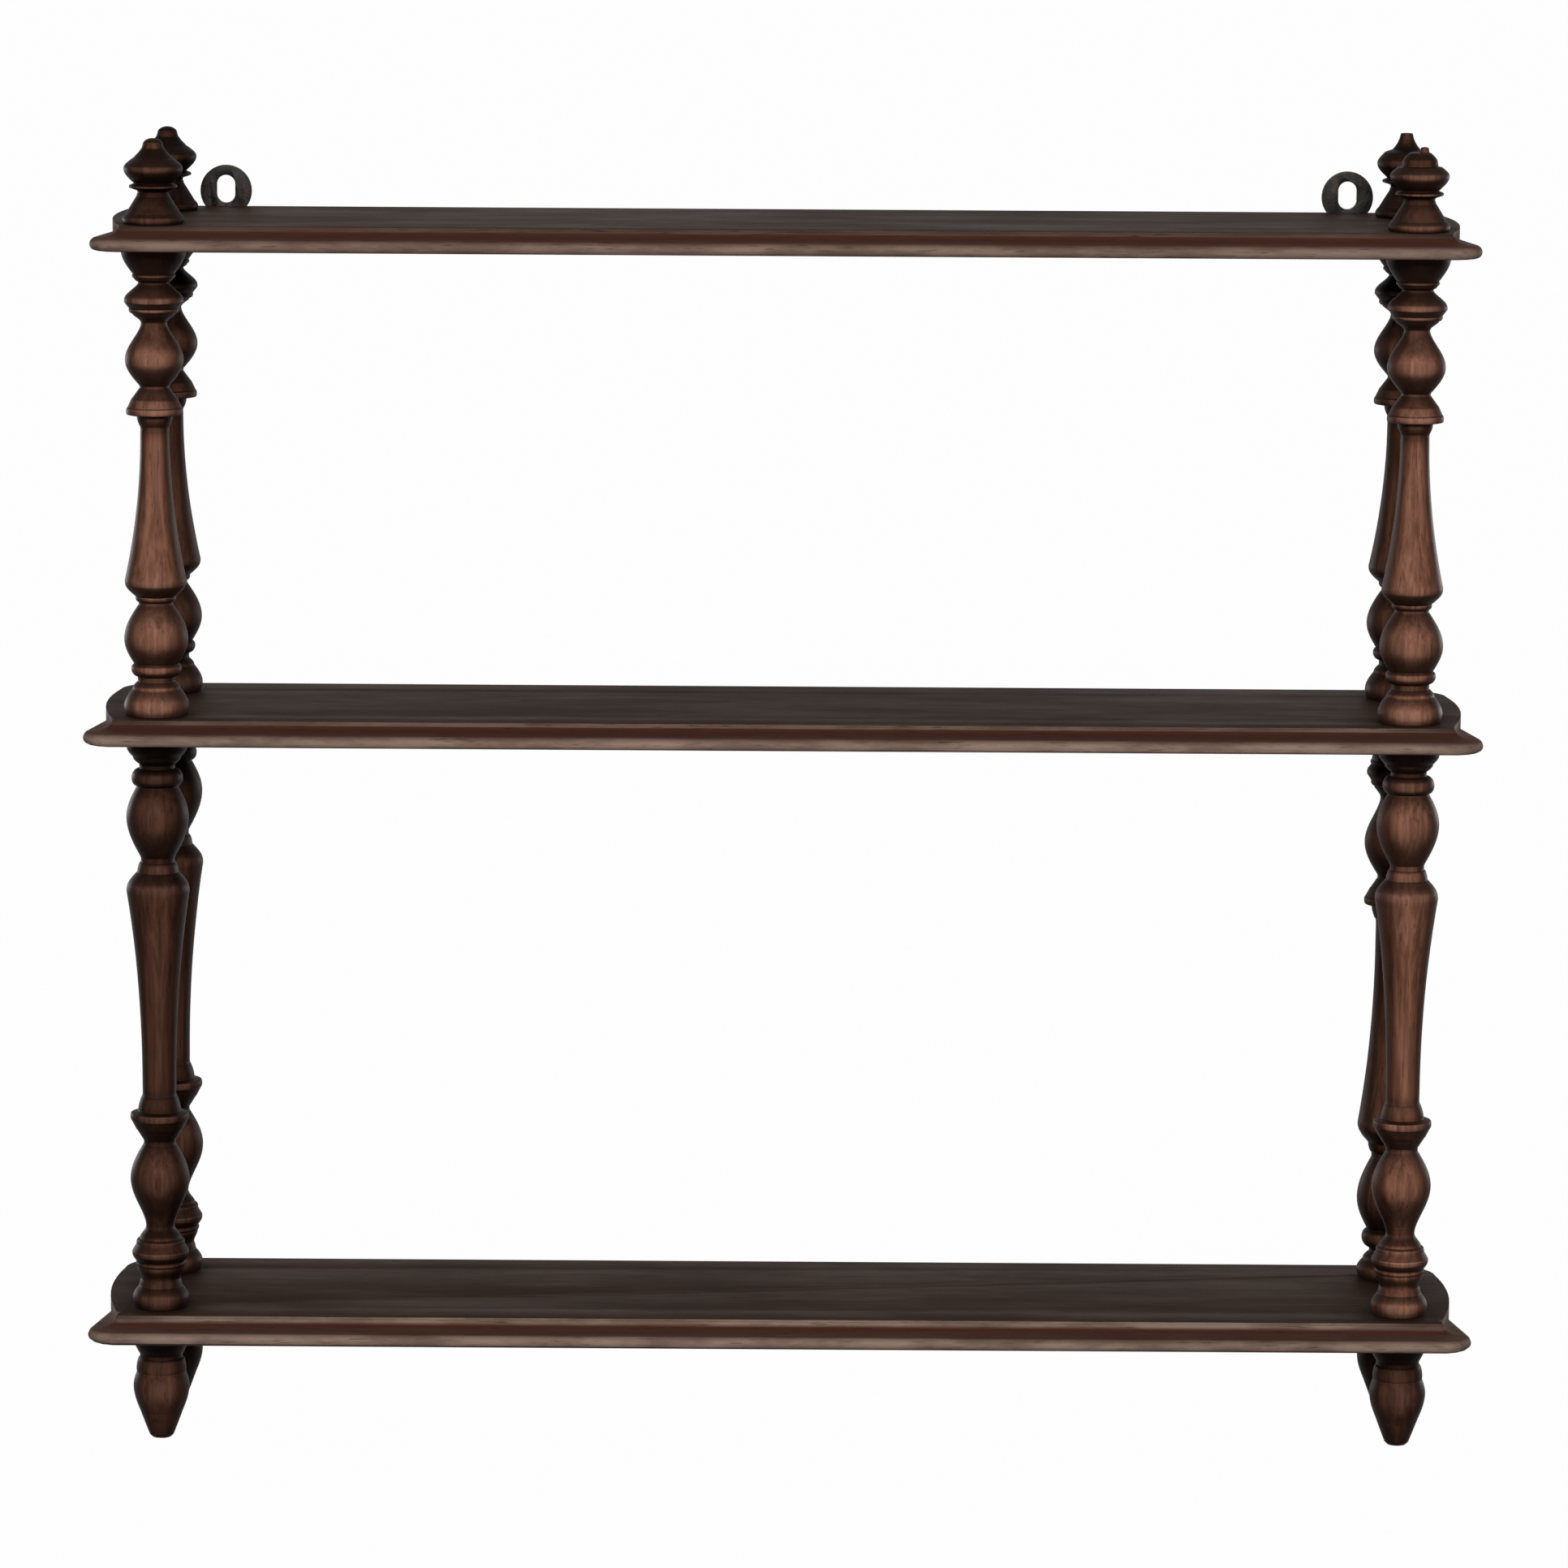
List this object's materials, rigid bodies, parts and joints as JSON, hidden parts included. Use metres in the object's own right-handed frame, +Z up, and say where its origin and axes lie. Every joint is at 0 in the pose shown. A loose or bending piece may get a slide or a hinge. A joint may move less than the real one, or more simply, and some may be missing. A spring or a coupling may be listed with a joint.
{
  "type": "wall shelf",
  "caption": "Hanging wooden wall shelf with moulded boards on turned columns, with finials, pendants and iron hanging eyes at the back.",
  "frame": {"origin": "middle of the top board's back edge, on the wall plane, at half the board's thickness", "axes": "+Y to the wall (the boards reach out to -Y), +X along the boards to the right as seen from the front, +Z up"},
  "size_m": [0.66, 0.1415, 0.6242],
  "materials": {
    "board_wood": "dark walnut stain, waxed, worn at the edges",
    "turned_wood": "dark walnut stain, waxed, polished on the crests",
    "bare_wood": "plain turned wood, glued",
    "dark_iron": "forged, darkened and waxed",
    "screw_steel": "aged, dull"
  },
  "bodies": {
    "root": {"shelf_top": "board_wood", "shelf_middle": "board_wood", "shelf_bottom": "board_wood", "finial_front_left": "turned_wood", "finial_front_right": "turned_wood", "finial_back_left": "turned_wood", "finial_back_right": "turned_wood", "upper_column_front_left": "turned_wood", "upper_column_front_right": "turned_wood", "upper_column_back_left": "turned_wood", "upper_column_back_right": "turned_wood", "lower_column_front_left": "turned_wood", "lower_column_front_right": "turned_wood", "lower_column_back_left": "turned_wood", "lower_column_back_right": "turned_wood", "pendant_front_left": "turned_wood", "pendant_front_right": "turned_wood", "pendant_back_left": "turned_wood", "pendant_back_right": "turned_wood", "middle_dowels": "bare_wood", "hanger_left": "dark_iron", "hanger_right": "dark_iron", "hanger_screws": "screw_steel"}
  },
  "joints": []
}
